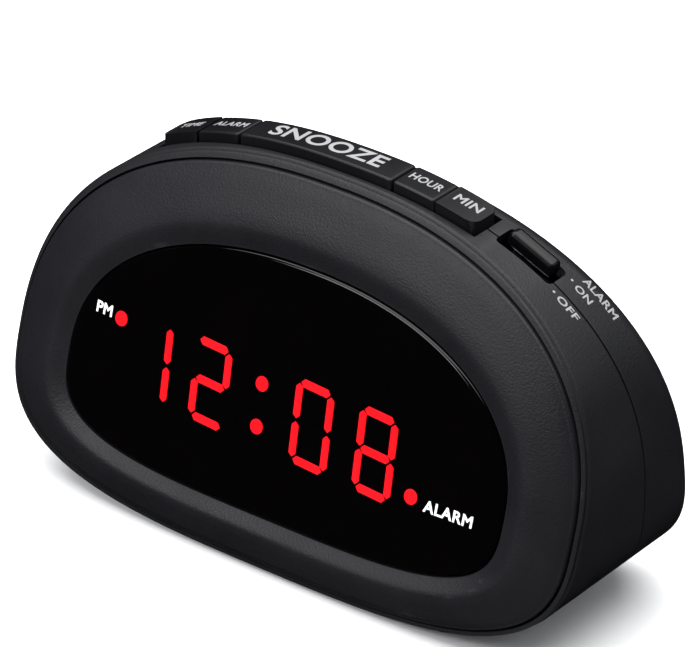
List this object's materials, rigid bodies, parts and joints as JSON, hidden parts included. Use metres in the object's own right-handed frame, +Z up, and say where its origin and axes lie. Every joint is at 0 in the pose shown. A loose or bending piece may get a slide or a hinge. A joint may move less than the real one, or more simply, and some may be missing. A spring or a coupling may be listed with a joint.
{
  "type": "alarm clock",
  "caption": "Low arched bedside clock with a leaning lens, seven-segment digits, a row of sprung top buttons, a slide switch and a rear battery door.",
  "frame": {"origin": "on the floor under the middle of the clock's bounding box", "axes": "+X to the clock's right as its user faces it, +Y to the back, +Z up; the display faces -Y"},
  "size_m": [0.1296, 0.048, 0.0743],
  "materials": {
    "case_plastic": "fine moulded grain",
    "bezel_plastic": "satin grain",
    "button_plastic": "satin",
    "knob_plastic": "smooth",
    "lens_plastic": "polished smoked acrylic",
    "foot_rubber": "matte",
    "steel": "zinc plated",
    "board_laminate": "solder mask",
    "switch_plastic": "moulded",
    "reflector_plastic": "grey face, white wells",
    "diffuser_film": "red film",
    "chip_plastic": "moulded epoxy",
    "capacitor_sleeve": "shrunk sleeve",
    "buzzer_plastic": "moulded",
    "core_steel": "varnished laminations",
    "coil_tape": "yellow tape"
  },
  "bodies": {
    "case": {"alarm_tact_switch": "switch_plastic", "backup_capacitor": "capacitor_sleeve", "battery_contact_1": "steel", "battery_contact_2": "steel", "battery_spring_1": "steel", "battery_spring_2": "steel", "buzzer": "buzzer_plastic", "case_screw_1": "steel", "case_screw_2": "steel", "case_screw_3": "steel", "case_screw_4": "steel", "clock_chip": "chip_plastic", "cord_inlet_bush": "foot_rubber", "display_board": "board_laminate", "display_diffuser": "diffuser_film", "display_lens": "lens_plastic", "display_reflector": "reflector_plastic", "front_bezel": "bezel_plastic", "front_housing": "case_plastic", "hour_tact_switch": "switch_plastic", "key_board": "board_laminate", "main_board": "board_laminate", "minute_tact_switch": "switch_plastic", "rear_housing": "case_plastic", "rubber_foot_1": "foot_rubber", "rubber_foot_2": "foot_rubber", "rubber_foot_3": "foot_rubber", "rubber_foot_4": "foot_rubber", "slide_switch_board": "board_laminate", "slide_switch_shell": "steel", "smoothing_capacitor": "capacitor_sleeve", "snooze_tact_switch": "switch_plastic", "time_tact_switch": "switch_plastic", "transformer_coil": "coil_tape", "transformer_core": "core_steel"},
    "time_button": {"time_button": "button_plastic"},
    "alarm_button": {"alarm_button": "button_plastic"},
    "snooze_button": {"snooze_button": "button_plastic"},
    "hour_button": {"hour_button": "button_plastic"},
    "minute_button": {"minute_button": "button_plastic"},
    "alarm_switch_knob": {"alarm_switch_knob": "knob_plastic"},
    "battery_door": {"battery_door": "case_plastic"}
  },
  "joints": [
    {"name": "time_press", "type": "slide", "parent": "case", "child": "time_button", "axis": [0, 0, -1], "range_m": [0, 0.0007], "stiffness_N_per_m": 600, "springref_m": -0.0005},
    {"name": "alarm_press", "type": "slide", "parent": "case", "child": "alarm_button", "axis": [0, 0, -1], "range_m": [0, 0.0007], "stiffness_N_per_m": 600, "springref_m": -0.0005},
    {"name": "snooze_press", "type": "slide", "parent": "case", "child": "snooze_button", "axis": [0, 0, -1], "range_m": [0, 0.0007], "stiffness_N_per_m": 600, "springref_m": -0.0005},
    {"name": "hour_press", "type": "slide", "parent": "case", "child": "hour_button", "axis": [0, 0, -1], "range_m": [0, 0.0007], "stiffness_N_per_m": 600, "springref_m": -0.0005},
    {"name": "minute_press", "type": "slide", "parent": "case", "child": "minute_button", "axis": [0, 0, -1], "range_m": [0, 0.0007], "stiffness_N_per_m": 600, "springref_m": -0.0005},
    {"name": "alarm_switch_slide", "type": "slide", "parent": "case", "child": "alarm_switch_knob", "axis": [0, -1, 0], "range_m": [0, 0.0022]},
    {"name": "battery_door_hinge", "type": "hinge", "parent": "case", "child": "battery_door", "pos_m": [-0.018, 0.02062, 0.01574], "axis": [-1, 0, 0], "range_deg": [0, 80]}
  ]
}
